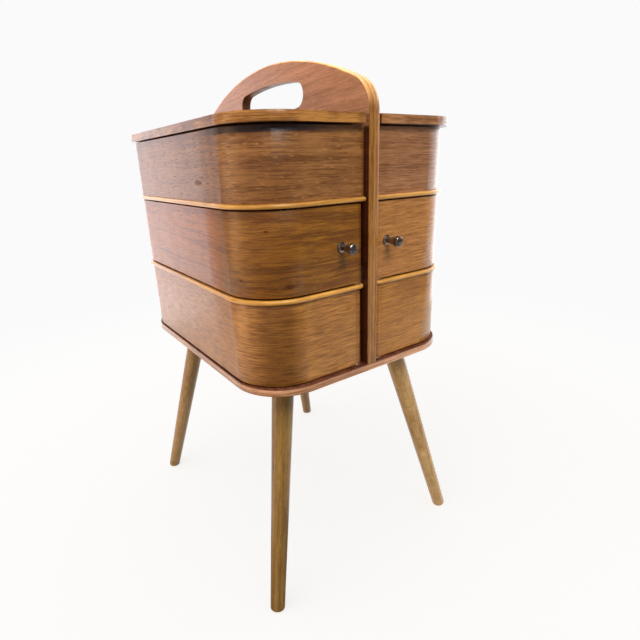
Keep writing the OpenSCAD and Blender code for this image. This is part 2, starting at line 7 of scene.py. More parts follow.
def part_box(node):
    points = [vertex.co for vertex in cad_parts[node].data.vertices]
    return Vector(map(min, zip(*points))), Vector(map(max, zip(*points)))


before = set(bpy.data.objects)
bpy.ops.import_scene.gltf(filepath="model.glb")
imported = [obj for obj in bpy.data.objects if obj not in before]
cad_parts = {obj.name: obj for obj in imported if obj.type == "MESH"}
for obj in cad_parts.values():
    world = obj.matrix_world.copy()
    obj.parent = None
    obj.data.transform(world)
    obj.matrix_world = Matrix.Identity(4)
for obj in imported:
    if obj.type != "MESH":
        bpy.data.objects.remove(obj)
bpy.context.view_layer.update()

MM = 0.001
X_AXIS = (1.0, 0.0, 0.0)
Y_AXIS = (0.0, 1.0, 0.0)
Z_AXIS = (0.0, 0.0, 1.0)


def srgb(r, g, b):
    """A linear colour from 8-bit sRGB values."""
    def channel(v):
        v = v / 255
        return v / 12.92 if v <= 0.04045 else ((v + 0.055) / 1.055) ** 2.4
    return (channel(r), channel(g), channel(b), 1.0)


# Camera, solved from the box's own outlines in the photograph
CAMERA_POS = Vector((-356.4, -587.5, 539.0)) * MM
CAMERA_YAW = math.radians(35.608)
CAMERA_PITCH = math.radians(18.851)
CAMERA_ROLL = math.radians(-1.998)
SENSOR_WIDTH = 36.0
CAMERA_LENS = 25.6875
# The nearest and the farthest distance that it sees, in metres
CAMERA_NEAR = 0.01
CAMERA_FAR = 50.0
# Horizontal direction in which it looks
AHEAD = (math.sin(CAMERA_YAW), math.cos(CAMERA_YAW), 0.0)

# Background and floor, linear colours. The lift is light that the floor adds for the camera and
# for reflections.
BACKGROUND = (0.955, 0.955, 0.965, 1.0)
FLOOR_NEAR = (0.55, 0.548, 0.54, 1.0)
FLOOR_LIFT = (0.725, 0.725, 0.72, 1.0)
FLOOR_SIZE = 12.0
# How far from the box the floor fades into the background, for the camera and in reflections
FLOOR_FADES = (0.7, 1.6)
FLOOR_FADES_MIRRORED = (1.2, 1.9)
# How much of the lift a reflection finds, except towards the camera, where the floor is dark as
# in front of a photographer. It turns bright between these cosines of the angle from AHEAD.
FLOOR_GLARE = 1.05
GLARE_BEGINS = (-0.92, -0.6)

# The world's fill light: its tint, and its strength below and above the horizon
FILL_TINT = (1.0, 0.985, 0.96, 1.0)
FILL_BELOW = 0.27
FILL_ABOVE = 0.36
# One turns into the other between these sines of the elevation
HORIZON = (-0.1, 0.1)
# More of it comes from the left, where the room is open
FILL_LEFT = 1.0
# The room in reflections: dark behind the camera and bright ahead of it. It turns bright
# between these cosines of the angle from AHEAD.
DARK_SIDE = 0.15
BRIGHT_SIDE = 0.93
BRIGHT_BEGINS = (0.46, 0.64)

# Softboxes: azimuth from +Y towards +X and elevation in degrees, distance, width and height in
# metres, how bright the face looks, and its colour
LAMPS = {
    "key": (-172, 45, 2.4, 1.0, 1.0, 14.5, (1.0, 0.985, 0.95)),
    "ceiling": (0, 88, 1.9, 1.0, 1.0, 4.0, (1.0, 1.0, 1.0)),
    "back_left_wall": (-11, 2, 1.06, 0.8, 1.2, 1.6, (0.98, 0.92, 1.0)),
    "back_right_wall": (89.5, 0, 1.3, 1.5, 1.9, 1.95, (0.98, 0.98, 1.0)),
    "left_window": (-72, 4, 2.4, 0.9, 2.0, 4.0, (1.0, 0.62, 0.34)),
}
LAMPS_AIM = Vector((0.0, 0.0, 0.42))

# Widths of eased edges: of wood, of the lids' edging, and of metal
EDGE_EASE = 0.45 * MM
LID_EDGE_EASE = 0.8 * MM
METAL_EASE = 0.2 * MM
# Only edges sharper than this are eased
EASED_ANGLE = math.radians(35)
# Points of a CAD mesh that lie this close are one point
WELD_DISTANCE = 0.002 * MM

# How a wood's dark and light streaks differ from its mean colour: powers of two per channel
DARKER = (-0.75, -0.95, -1.25)
LIGHTER = (0.5, 0.6, 0.75)

# The noise for each feature of the grain: how often it repeats in a metre along the grain and
# across it, its detail and its roughness. Streaks repeat once in a wood's own pitch instead.
GRAIN = {
    "wander": (4.5, 9.0, 2, 0.5),
    "clouds": (6.0, 17.0, 3, 0.5),
    "bands": (2.6, 85.0, 2, 0.5),
    "streaks": (5.5, 1.0, 2, 0.55),
    "fibres": (45.0, 850.0, 2, 0.6),
    "ripples": (34.0, 5.0, 2, 0.5),
    "lines": (3.0, 120.0, 1, 0.5),
    "line_breaks": (7.0, 60.0, 1, 0.5),
    "pores": (70.0, 800.0, 1, 0.5),
    "flecks": (105.0, 750.0, 1, 0.5),
}
# The noise's mean, and about how far it strays to either side
NOISE_MEAN = 0.5
NOISE_STRAY = 0.25
# How much the noise of a feature moves the wood's tone, and how much a dark line does
TONE_WEIGHTS = {"clouds": 1.1, "bands": 1.1, "streaks": 1.9, "fibres": 1.7, "ripples": 1.0}
LINE_WEIGHT = -0.5
# A line runs where its noise is this close to the mean
LINE_WIDTH = 0.1
# Values of the noise between which a line, a pore or a fleck fades in
LINE_SHOWS = (0.4, 0.58)
PORE_SHOWS = (0.6, 0.7)
FLECK_SHOWS = (0.6, 0.72)
# How much lighter or darker than the wood a fleck, a pore and a knot are; negative is darker. The light
# flecks are partly the wood's own and partly painted glints of the lacquer.
FLECK_AND_GLINT_SHADE = 1.6
PORE_SHADE = -1.6
KNOT_SHADE = -1.7

# A knot bends the grain out to this many times its radius
KNOT_REACH = 4.0
# It is fully dark out to this share of its radius, and fades from there
KNOT_CORE = 0.25
# The shares by which it covers the wood and takes away the lacquer's shine
KNOT_COVER = 0.8
KNOT_DULL = 0.7

# Depth of the ripples and of the fine grain, and what pores, streaks and fibres add to the latter
RIPPLE_RELIEF = 0.25 * MM
GRAIN_RELIEF = 0.05 * MM
PORE_HEIGHT = -0.9
STREAK_HEIGHT = 0.6
FIBRE_HEIGHT = 0.5

# Lacquer, the wood under it, bare wood, and how much rougher a light streak is
LACQUER_IOR = 1.4
BASE_SPECULAR = 0.12
WOOD_ROUGHNESS = 0.46
BARE_ROUGHNESS = 0.65
STREAK_ROUGHNESS = 0.2

# Metal: how fine its smudges and scratches are, where smudges show, how much rougher and
# brighter they make it, and how deep the scratches are
SMUDGE_SCALE = 140.0
SCRATCH_SCALE = 1100.0
SMUDGE_SHOWS = (0.35, 0.7)
SMUDGE_ROUGHNESS = 0.25
SMUDGE_BRIGHTER = 1.15
SCRATCH_RELIEF = 0.01 * MM

# Mean colours of the woods
WALNUT = {
    "left_top": srgb(131, 85, 42),
    "left_middle": srgb(128, 79, 14),
    "left_bottom": srgb(158, 104, 44),
    "right_top": srgb(141, 94, 58),
    "right_middle": srgb(168, 112, 55),
    "right_bottom": srgb(163, 106, 38),
}
LID_WALNUT = srgb(140, 92, 48)
BASE_WALNUT = srgb(104, 58, 38)
PANEL = srgb(170, 117, 80)
PANEL_EDGE = srgb(150, 99, 42)
LID_EDGE = {"left": srgb(150, 98, 42), "right": srgb(146, 97, 56)}
BASE_EDGE = srgb(192, 140, 102)
BEAD = srgb(210, 153, 70)
BEECH = {
    "front_left": srgb(134, 99, 45),
    "front_right": srgb(184, 147, 94),
    "rear_left": srgb(160, 122, 70),
    "rear_right": srgb(156, 116, 62),
}
PLY = srgb(218, 190, 144)
# Posts differ from the wall beside them by this much; negative is darker
POST_SHADE = {"left": -0.5, "right": -0.05}

# Colours of the metals, and of the worn places on the knobs
BRONZE = srgb(104, 90, 84)
BRONZE_WORN = srgb(184, 170, 160)
STEEL = srgb(186, 186, 182)
BRASS = srgb(176, 146, 90)

# Places in the CAD: the left and front faces of the trays' walls and the top tray's rim, the
# lids, the base plate and the panel's right face
WALL_LOW, WALL_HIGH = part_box("left_top_shell")
SIDE = WALL_LOW.x
FRONT = WALL_LOW.y
WALL_TOP = WALL_HIGH.z
LIDS_LOW, LIDS_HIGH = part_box("left_lid_board")
BASE_LOW, BASE_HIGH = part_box("base_plate")
PANEL_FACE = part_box("centre_panel")[1].x

# Painted shade where the trays cover the panel: what the panel's colour is multiplied by there, and
# between which heights that fades
COVERED_PAINTED_SHADE = (0.17, 0.08, 0.06, 1.0)
COVERED_FADES = (LIDS_LOW.z - 4.5 * MM, LIDS_LOW.z - 0.5 * MM)
# Painted shade on the wood inside the hand hole: what its colour is multiplied by, and between which
# distances from the panel's middle that fades
HOLE_PAINTED_SHADE = (0.3, 0.26, 0.24, 1.0)
HOLE_FADES = (PANEL_FACE - 1.1 * MM, PANEL_FACE - 0.6 * MM)
# The heights between which the painted shade on the base edging's upper edge begins
EDGING_DARKENS = (BASE_HIGH.z - 1.3 * MM, BASE_HIGH.z - 0.8 * MM)
# Painted light on the edging over the arch: what it is multiplied by, and between which heights it
# begins
ARCH_PAINTED_LIGHT = (3.1, 4.1, 8.0, 1.0)
ARCH_BEGINS = (LIDS_HIGH.z + 2 * MM, LIDS_HIGH.z + 42 * MM)
# Where the left trays' walls are darker, round their front corner, and how far that reaches
DARK_CORNER = (SIDE + 33.5 * MM, FRONT + 17 * MM, 0.0)
CORNER_FADES = (12 * MM, 37 * MM)
# Painted light on the middle left tray's side: what it is multiplied by, and between which depths it
# begins
SIDE_PAINTED_LIGHT = (1.4, 1.2, 1.1, 1.0)
SIDE_BEGINS = (FRONT + 58 * MM, FRONT + 93 * MM)
# The painted shadow of the lid, a dark strip along the left top tray's rim: its colour, and the depths
# below the rim between which it fades
RIM_SHADOW_COLOUR = srgb(36, 28, 32)
RIM_FADES = (6 * MM, 6.8 * MM)
# How far speckle of this scale shifts the strip's edge and its dark part
SPECKLE_SCALE = 260.0
RAGGED_EDGE = 1.2 * MM
RAGGED_MIDDLE = 25 * MM
# Where the strip is darkest, and how its strength falls over these distances from there
RIM_DARKEST = (SIDE + 33.5 * MM, FRONT + 21 * MM, WALL_TOP - 3.2 * MM)
RIM_WEAKENS = (30 * MM, 85 * MM)
RIM_STRENGTH = (0.93, 0.35)
# Between these depths it falls to a last share
RIM_ENDS = (FRONT + 73 * MM, FRONT + 103 * MM)
RIM_REST = 0.15
# The depths at which a wall's early bend ends and begins, and how deep it is
BEND_REACH = (FRONT + 28 * MM, FRONT + 110 * MM)
EARLY_BEND = {"left_top": 2.2 * MM, "left_middle": 4.5 * MM, "left_bottom": 3.2 * MM}

# Knots in the trays' walls: their middle from the wall's left, front and lower ends and their
# radius, in millimetres, how far they pull the grain, and their height over their length
KNOTS = {
    "left_top": [((0.0, 114.5, 25.3), 4.6, 0.8, 0.3)],
    "left_middle": [
        ((24.2, 11.9, 70.4), 2.0, 0.4, 0.55),
        ((4.3, 37.6, 18.7), 2.2, 0.5, 0.55),
        ((43.0, 2.5, 11.8), 4.0, 0.7, 0.5),
    ],
}

# What differs from tray to tray in the veneer; a seed is an offset in the noise
VENEER = {
    "left_top": {"seed": (1.7, 0.0, 0.0), "coat_roughness": 0.33, "cloud": 0.8, "band": 0.8,
                 "streak": 0.8, "fleck": 0.7, "ripple": 0.9, "line": 0.6, "wave": 3 * MM},
    "left_middle": {"seed": (4.8, 0.0, 2.9), "coat_roughness": 0.33, "cloud": 0.6, "band": 0.4,
                    "streak": 0.42, "fibre": 1.4, "pore": 0.35, "pitch": 2.2 * MM},
    "left_bottom": {"seed": (7.9, 0.0, 5.8), "coat_roughness": 0.33, "cloud": 0.4, "band": 0.3,
                    "streak": 0.38, "line": 0.2, "fibre": 1.6, "pore": 0.35, "pitch": 1.7 * MM,
                    "wave": 1.5 * MM},
    "right_top": {"seed": (1.7, 5.3, 0.0), "cloud": 0.7, "band": 0.8, "streak": 0.5, "line": 0.2,
                  "fibre": 1.1, "pore": 0.4, "pitch": 2 * MM, "wave": 2 * MM},
    "right_middle": {"seed": (4.8, 5.3, 2.9), "cloud": 0.8, "band": 0.4, "streak": 0.22, "line": 0.1,
                     "fibre": 1.1, "pore": 0.5, "pitch": 1.8 * MM, "wave": 2 * MM},
    "right_bottom": {"seed": (7.9, 5.3, 5.8), "cloud": 0.7, "band": 0.4, "streak": 0.3, "line": 0.1,
                     "fibre": 1.15, "pore": 0.4, "pitch": 1.8 * MM, "wave": 1.5 * MM},
}
LID_SEEDS = {"left": (2.0, 4.0, 1.0), "right": (2.0, 7.0, 1.0)}
# A leg's seed has the signs of its side and its end
LEG_SEED = (3.0, 2.0, 5.0)

# How far a leg's foot stands outside its head
LEG_LEAN_X = 64.5 * MM
LEG_LEAN_Y = 57.5 * MM
# How much the panel's grain rises towards the front
PANEL_SLOPE = math.radians(4)


class Tree:
    """Small helper that adds and links shader nodes in one node tree."""

    def __init__(self, tree):
        self.tree = tree
        self.tree.nodes.clear()

    def add(self, kind, **settings):
        node = self.tree.nodes.new(kind)
        for key, value in settings.items():
            setattr(node, key, value)
        return node

    def link(self, source, target):
        self.tree.links.new(source, target)

    def feed(self, socket, value):
        """Links value to socket if it is a socket, and sets it otherwise."""
        if isinstance(value, bpy.types.NodeSocket):
            self.link(value, socket)
        else:
            socket.default_value = value

    def math(self, operation, a, b=0.0, c=0.0, clamp=False):
        node = self.add("ShaderNodeMath", operation=operation, use_clamp=clamp)
        for socket, value in zip(node.inputs, (a, b, c)):
            self.feed(socket, value)
        return node.outputs[0]

    def vmath(self, operation, a, b=(0, 0, 0)):
        node = self.add("ShaderNodeVectorMath", operation=operation)
        self.feed(node.inputs[0], a)
        self.feed(node.inputs[1], b)
        return node.outputs["Value" if operation in ("DOT_PRODUCT", "DISTANCE", "LENGTH") else "Vector"]

    def place(self):
        """The shaded point in the object's own frame, which is the CAD's at rest."""
        return self.add("ShaderNodeTexCoord").outputs["Object"]

    def reach(self, axis):
        """How far the shaded point lies along an axis."""
        return self.vmath("DOT_PRODUCT", self.place(), axis)

    def noise(self, vector, detail, roughness=0.5, scale=1.0):
        node = self.add("ShaderNodeTexNoise")
        self.feed(node.inputs["Vector"], vector)
        node.inputs["Scale"].default_value = scale
        node.inputs["Detail"].default_value = detail
        node.inputs["Roughness"].default_value = roughness
        return node.outputs["Fac"]

    def centred(self, noise):
        """Noise moved to lie round zero."""
        return self.math("SUBTRACT", noise, NOISE_MEAN)

    def span(self, value, low, high, to_low=0.0, to_high=1.0):
        """Maps value from low..high to to_low..to_high, smoothly and clamped."""
        node = self.add("ShaderNodeMapRange", interpolation_type="SMOOTHSTEP")
        self.feed(node.inputs["Value"], value)
        node.inputs["From Min"].default_value = low
        node.inputs["From Max"].default_value = high
        node.inputs["To Min"].default_value = to_low
        node.inputs["To Max"].default_value = to_high
        return node.outputs["Result"]

    def ramp(self, value, stops):
        node = self.add("ShaderNodeValToRGB")
        self.feed(node.inputs["Fac"], value)
        elements = node.color_ramp.elements
        while len(elements) < len(stops):
            elements.new(0.5)
        for element, (place, colour) in zip(elements, stops):
            element.position = place
            element.color = colour
        return node.outputs["Color"]

    def mix(self, factor, a, b, blend="MIX"):
        """Mixes two colours. A Mix node has its colours at inputs 6 and 7 and at output 2."""
        node = self.add("ShaderNodeMix", data_type="RGBA", blend_type=blend)
        self.feed(node.inputs[0], factor)
        self.feed(node.inputs[6], a)
        self.feed(node.inputs[7], b)
        return node.outputs[2]

    def bump(self, height, distance, normal=None):
        node = self.add("ShaderNodeBump")
        node.inputs["Distance"].default_value = distance
        self.link(height, node.inputs["Height"])
        if normal is not None:
            self.link(normal, node.inputs["Normal"])
        return node.outputs["Normal"]

    def shader(self, kind, **inputs):
        """Adds a shader and feeds each named input; an underscore stands for a space."""
        node = self.add(kind)
        for key, value in inputs.items():
            self.feed(node.inputs[key.replace("_", " ")], value)
        return node.outputs[0]

    def mix_shaders(self, factor, first, second):
        node = self.add("ShaderNodeMixShader")
        for socket, source in zip(node.inputs, (factor, first, second)):
            self.link(source, socket)
        return node.outputs[0]

    def surface(self, shader, kind="ShaderNodeOutputMaterial"):
        self.link(shader, self.add(kind).inputs["Surface"])


def new_material(name):
    material = bpy.data.materials.new(name)
    material.use_nodes = True
    return material, Tree(material.node_tree)


def shade(colour, amount):
    """The colour of a darker (negative amount) or lighter streak in wood of this mean colour."""
    powers = LIGHTER if amount > 0 else DARKER
    return (*(c * 2 ** (abs(amount) * p) for c, p in zip(colour, powers)), 1.0)


def grain_coordinates(tree, along, across):
    """Position with each axis named for the wood: two directions along the grain, one across it.

    Two directions along, such as X and Y, let the grain follow a wall round its bent corners.
    """
    return [tree.reach(direction) for direction in (*along, across)]


def feature(tree, place, kind, seed, pitch=1.0):
    """The noise for one feature of the grain, stretched along the wood."""
    long_scale, cross_scale, detail, roughness = GRAIN[kind]
    combine = tree.add("ShaderNodeCombineXYZ")
    scales = (long_scale, long_scale, cross_scale / pitch)
    for socket, coordinate, scale, offset in zip(combine.inputs, place, scales, seed):
        tree.link(tree.math("MULTIPLY_ADD", coordinate, scale, offset), socket)
    return tree.noise(combine.outputs[0], detail, roughness)


def knot(tree, place, centre, radius, pull, squash):
    """A knot's mark, from 0 outside it to 1 at its middle, and the place with the bent grain.

    pull is how far the grain round the knot is drawn aside, and squash is the knot's height over
    its length along the grain.
    """
    first, second, third = place
    offsets = [
        tree.math("MULTIPLY", tree.math("SUBTRACT", first, centre[0]), squash),
        tree.math("MULTIPLY", tree.math("SUBTRACT", second, centre[1]), squash),
        tree.math("SUBTRACT", third, centre[2]),
    ]
    combine = tree.add("ShaderNodeCombineXYZ")
    for socket, offset in zip(combine.inputs, offsets):
        tree.link(offset, socket)
    distance = tree.vmath("LENGTH", combine.outputs[0])
    near = tree.span(distance, 0.0, radius * KNOT_REACH, 1.0, 0.0)
    core = tree.span(distance, KNOT_CORE * radius, radius, 1.0, 0.0)
    bent = tree.math("MULTIPLY_ADD", tree.math("MULTIPLY", offsets[2], near), -pull, third)
    return core, [first, second, bent]


def wandering(tree, place, wave, seed):
    """Lets the grain wander slowly up and down along its length."""
    first, second, third = place
    wander = tree.centred(feature(tree, place, "wander", seed))
    return [first, second, tree.math("MULTIPLY_ADD", wander, wave / NOISE_STRAY, third)]


def grain_features(tree, place, pitch, seed):
    """The features of the grain: plain noise, and lines, pores and flecks from 0 to 1."""
    grain = {kind: feature(tree, place, kind, seed) for kind in ("clouds", "bands", "fibres", "ripples")}
    grain["streaks"] = feature(tree, place, "streaks", seed, pitch)
    other = seed[::-1]
    aside = tree.math("ABSOLUTE", tree.centred(feature(tree, place, "lines", other)))
    shown = tree.span(feature(tree, place, "line_breaks", other), *LINE_SHOWS)
    grain["lines"] = tree.math("MULTIPLY", tree.span(aside, 0.0, LINE_WIDTH, 1.0, 0.0), shown)
    grain["pores"] = tree.span(feature(tree, place, "pores", seed), *PORE_SHOWS)
    grain["flecks"] = tree.span(feature(tree, place, "flecks", other), *FLECK_SHOWS)
    return grain


def side_sinking(tree):
    """A bent wall's side turns in a little before its front corner. Returns its height, 0 to 1."""
    return tree.span(tree.reach(Y_AXIS), *BEND_REACH)


def grain_normal(tree, grain, early_bend):
    """The relief of the ripples, of a wall's early bend, and of the fine grain."""
    normal = tree.bump(grain["ripples"], RIPPLE_RELIEF)
    if early_bend:
        normal = tree.bump(side_sinking(tree), early_bend, normal)
    streaks = tree.math("MULTIPLY", grain["streaks"], STREAK_HEIGHT)
    height = tree.math("MULTIPLY_ADD", grain["pores"], PORE_HEIGHT, streaks)
    height = tree.math("MULTIPLY_ADD", grain["fibres"], FIBRE_HEIGHT, height)
    return tree.bump(height, GRAIN_RELIEF, normal)


def wood(name, middle, along=(X_AXIS, Y_AXIS), across=Z_AXIS, seed=(0, 0, 0), contrast=1.0,
         cloud=1.0, band=1.0, streak=1.0, line=1.0, fibre=1.0, pore=0.6, fleck=0.3, ripple=0.3,
         pitch=2.9 * MM, wave=4 * MM, knots=(), tone_changes=(), early_bend=0.0, lacquered=True,
         roughness=WOOD_ROUGHNESS, coat_roughness=0.27):
    """Veneer or solid wood. middle is its mean colour, in linear RGB.

    cloud to ripple are how much each feature of the grain shows, pitch is the distance between
    streaks, and wave how far the grain wanders. A tone change is a function that changes the
    colour, such as painted shade or painted light, and early_bend is how deep a bent wall's side
    turns in before its front corner.
    """
    material, tree = new_material(name)
    place = grain_coordinates(tree, along, across)
    cores = []
    for each in knots:
        core, place = knot(tree, place, *each)
        cores.append(core)
    place = wandering(tree, place, wave, seed)
    grain = grain_features(tree, place, pitch, seed)

    tone = 0.5
    shares = {"clouds": cloud, "bands": band, "streaks": streak, "fibres": fibre, "ripples": ripple}
    for kind, share in shares.items():
        weight = TONE_WEIGHTS[kind] * share * contrast
        tone = tree.math("MULTIPLY_ADD", tree.centred(grain[kind]), weight, tone)
    tone = tree.math("MULTIPLY_ADD", grain["lines"], LINE_WEIGHT * line * contrast, tone)
    colour = tree.ramp(tone, [(0.0, shade(middle, -1.0)), (0.5, middle), (1.0, shade(middle, 1.0))])
    # Light flecks, partly painted glints of the lacquer
    colour = tree.mix(tree.math("MULTIPLY", grain["flecks"], fleck), colour, shade(middle, FLECK_AND_GLINT_SHADE))
    gaps = tree.math("MULTIPLY", grain["pores"], pore)
    colour = tree.mix(gaps, colour, shade(middle, PORE_SHADE))
    for core in cores:
        colour = tree.mix(tree.math("MULTIPLY", core, KNOT_COVER), colour, shade(middle, KNOT_SHADE))
        gaps = tree.math("MULTIPLY_ADD", core, KNOT_DULL, gaps)
    # Tone changes: painted shade, painted light and darker corners, put over the grain
    for tone_change in tone_changes:
        colour = tone_change(tree, colour)

    normal = grain_normal(tree, grain, early_bend)
    streaks = tree.centred(grain["streaks"])
    # Lacquer sinks into pores and knots, so they shine less
    lacquer = tree.math("SUBTRACT", 1.0, gaps, clamp=True) if lacquered else 0.0
    tree.surface(tree.shader(
        "ShaderNodeBsdfPrincipled", Base_Color=colour, Normal=normal, Coat_Normal=normal,
        Roughness=tree.math("MULTIPLY_ADD", streaks, STREAK_ROUGHNESS, roughness),
        Specular_IOR_Level=BASE_SPECULAR, Coat_Weight=lacquer, Coat_IOR=LACQUER_IOR,
        Coat_Roughness=coat_roughness))
    return material


def plain_wood(name, middle, **settings):
    """Unfinished wood: the same grain without lacquer."""
    return wood(name, middle, lacquered=False, roughness=BARE_ROUGHNESS, **settings)


def metal(name, colour, roughness, worn=None):
    """Metal with smudges and faint scratches; worn is the colour of rubbed places."""
    material, tree = new_material(name)
    smudge = tree.noise(tree.place(), detail=3, roughness=0.6, scale=SMUDGE_SCALE)
    scratches = tree.noise(tree.place(), detail=2, roughness=0.7, scale=SCRATCH_SCALE)
    rubbed = worn or (*(SMUDGE_BRIGHTER * c for c in colour[:3]), 1.0)
    tree.surface(tree.shader(
        "ShaderNodeBsdfPrincipled", Metallic=1.0, Normal=tree.bump(scratches, SCRATCH_RELIEF),
        Base_Color=tree.mix(tree.span(smudge, *SMUDGE_SHOWS), colour, rubbed),
        Roughness=tree.math("MULTIPLY_ADD", smudge, SMUDGE_ROUGHNESS, roughness)))
    return material


def covered_painted_shade(tree, colour):
    """Painted shade: the panel's faces are dark where the trays cover them, and so is the wood in its
    hand hole.
    """
    covered = tree.span(tree.reach(Z_AXIS), *COVERED_FADES, 1.0, 0.0)
    colour = tree.mix(covered, colour, COVERED_PAINTED_SHADE, blend="MULTIPLY")
    inside = tree.span(tree.math("ABSOLUTE", tree.reach(X_AXIS)), *HOLE_FADES, 1.0, 0.0)
    inside = tree.math("MULTIPLY", inside, tree.math("SUBTRACT", 1.0, covered))
    return tree.mix(inside, colour, HOLE_PAINTED_SHADE, blend="MULTIPLY")


def edging_painted_shade(tree, colour):
    """Painted shade: the base edging's upper edge is as dark as the base plate's top."""
    return tree.mix(tree.span(tree.reach(Z_AXIS), *EDGING_DARKENS), colour, BASE_WALNUT)


def arch_painted_light(tree, colour):
    """Painted light: the panel's edging is paler over the top of the arch."""
    return tree.mix(tree.span(tree.reach(Z_AXIS), *ARCH_BEGINS), colour, ARCH_PAINTED_LIGHT, blend="MULTIPLY")


def corner_darkening(strength):
    """A tone change that is darker round the left trays' front corner; strength is what it multiplies.
    """
    def tone_change(tree, colour):
        flat = tree.vmath("MULTIPLY", tree.place(), (1.0, 1.0, 0.0))
        corner = tree.span(tree.vmath("DISTANCE", flat, DARK_CORNER), *CORNER_FADES, 1.0, 0.0)
        return tree.mix(corner, colour, strength, blend="MULTIPLY")
    return tone_change


def side_painted_light(tree, colour):
    """Painted light: the middle left tray's wall is paler and redder on its side than on its front."""
    return tree.mix(tree.span(tree.reach(Y_AXIS), *SIDE_BEGINS), colour, SIDE_PAINTED_LIGHT, blend="MULTIPLY")


def rim_painted_shadow(tree, colour):
    """Painted shadow of the lid: a dark strip along the left top tray's rim, darkest round the front
    corner.
    """
    speckle = tree.centred(tree.noise(tree.place(), detail=3, scale=SPECKLE_SCALE))
    below = tree.math("SUBTRACT", WALL_TOP, tree.reach(Z_AXIS))
    below = tree.math("MULTIPLY_ADD", speckle, RAGGED_EDGE, below)
    strip = tree.span(below, *RIM_FADES, 1.0, 0.0)
    aside = tree.vmath("DISTANCE", tree.place(), RIM_DARKEST)
    aside = tree.math("MULTIPLY_ADD", speckle, RAGGED_MIDDLE, aside)
    strength = tree.span(aside, *RIM_WEAKENS, *RIM_STRENGTH)
    behind = tree.span(tree.reach(Y_AXIS), *RIM_ENDS, 1.0, RIM_REST)
    strength = tree.math("MULTIPLY", strength, behind)
    return tree.mix(tree.math("MULTIPLY", strip, strength), colour, RIM_SHADOW_COLOUR)


# The tone changes on each left tray's wall: what its darker front corner is multiplied by, the painted
# shadow of the lid on the top tray, and the painted light on the middle tray's side
WALL_TONE_CHANGES = {
    "left_top": (corner_darkening((0.9, 0.85, 0.72, 1.0)), rim_painted_shadow),
    "left_middle": (corner_darkening((0.84, 0.78, 0.6, 1.0)), side_painted_light),
    "left_bottom": (corner_darkening((0.52, 0.46, 0.27, 1.0)),),
}

# Materials that several pieces share
PLYWOOD = plain_wood("plywood", PLY, contrast=0.45)
DARK_BRONZE = metal("dark_bronze", BRONZE, roughness=0.2, worn=BRONZE_WORN)
PLAIN_STEEL = metal("steel", STEEL, roughness=0.2)
DULL_BRASS = metal("dull_brass", BRASS, roughness=0.24)


def dress(name, material, ease=EDGE_EASE):
    """Gives a CAD node its material, and eases its sharp edges."""
    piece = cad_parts[name]
    piece.data.materials.clear()
    piece.data.materials.append(material)
    weld = piece.modifiers.new("weld", "WELD")
    weld.merge_threshold = WELD_DISTANCE
    if ease:
        bevel = piece.modifiers.new("eased edges", "BEVEL")
        bevel.width = ease
        bevel.segments = 2
        bevel.limit_method = "ANGLE"
        bevel.angle_limit = EASED_ANGLE
        bevel.harden_normals = True


def knots_on(tray):
    """The knots of a tray's wall, with their places and radii in the CAD's frame, in metres."""
    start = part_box(f"{tray}_shell")[0]
    return [(start + Vector(centre) * MM, radius * MM, pull, squash)
            for centre, radius, pull, squash in KNOTS.get(tray, ())]


def dress_tray(side, level, bead_wood):
    tray = f"{side}_{level}"
    middle = WALNUT[tray]
    veneer = wood(f"{tray}_walnut", middle, knots=knots_on(tray), tone_changes=WALL_TONE_CHANGES.get(tray, ()),
                  early_bend=EARLY_BEND.get(tray, 0.0), **VENEER[tray])
    dress(f"{tray}_shell", veneer)
    post_wood = wood(f"{tray}_post_wood", shade(middle, POST_SHADE[side]), **VENEER[tray])
    dress(f"{tray}_posts", post_wood)
    dress(f"{tray}_floor", PLYWOOD)
    if level != "top":
        dress(f"{tray}_inner_board", PLYWOOD)
        dress(f"{tray}_knob", DARK_BRONZE, METAL_EASE)
        dress(f"{tray}_knob_screw", PLAIN_STEEL, METAL_EASE)
    if level != "middle":
        dress(f"{tray}_bead", bead_wood, ease=None)


def dress_trays():
    bead_wood = wood("bead_wood", BEAD, contrast=0.6, pore=0.15, fleck=0.1, coat_roughness=0.3)
    for side in ("left", "right"):
        for level in ("top", "middle", "bottom"):
            dress_tray(side, level, bead_wood)


def dress_lids():
    for side, seed in LID_SEEDS.items():
        veneer = wood(f"{side}_lid_walnut", LID_WALNUT, along=(Y_AXIS, Z_AXIS), across=X_AXIS, seed=seed)
        dress(f"{side}_lid_board", veneer)
        edging = wood(f"{side}_lid_edge_wood", LID_EDGE[side], seed=seed, cloud=1.5, ripple=1.8,
                      fibre=1.6, wave=1 * MM)
        dress(f"{side}_lid_edging", edging, LID_EDGE_EASE)
        dress(f"{side}_lid_leaves", DULL_BRASS, METAL_EASE)
        dress(f"{side}_lid_screws", PLAIN_STEEL, METAL_EASE)


def dress_leg(side, end, side_sign, end_sign):
    """Gives one leg its wood, whose grain runs down its length."""
    lean = Vector((side_sign * LEG_LEAN_X, end_sign * LEG_LEAN_Y, -BASE_LOW.z)).normalized()
    across = lean.cross(Vector(Z_AXIS)).normalized()
    seed = (side_sign * LEG_SEED[0], end_sign * LEG_SEED[1], LEG_SEED[2])
    leg_wood = wood(f"leg_{end}_{side}_beech", BEECH[f"{end}_{side}"], along=(lean, lean),
                    across=across, seed=seed, contrast=0.6, band=1.2, pore=0.25, fleck=0.2,
                    ripple=0.1, wave=1 * MM)
    dress(f"leg_{end}_{side}", leg_wood)


def dress_base():
    base_wood = plain_wood("base_walnut", BASE_WALNUT, along=(Y_AXIS, Z_AXIS), across=X_AXIS)
    dress("base_plate", base_wood)
    dress("base_edging", wood("base_edge_wood", BASE_EDGE, pore=0.3, tone_changes=(edging_painted_shade,)))
    dress("leg_blocks", PLYWOOD)
    for side, side_sign in (("left", -1), ("right", 1)):
        for end, end_sign in (("front", -1), ("rear", 1)):
            dress_leg(side, end, side_sign, end_sign)


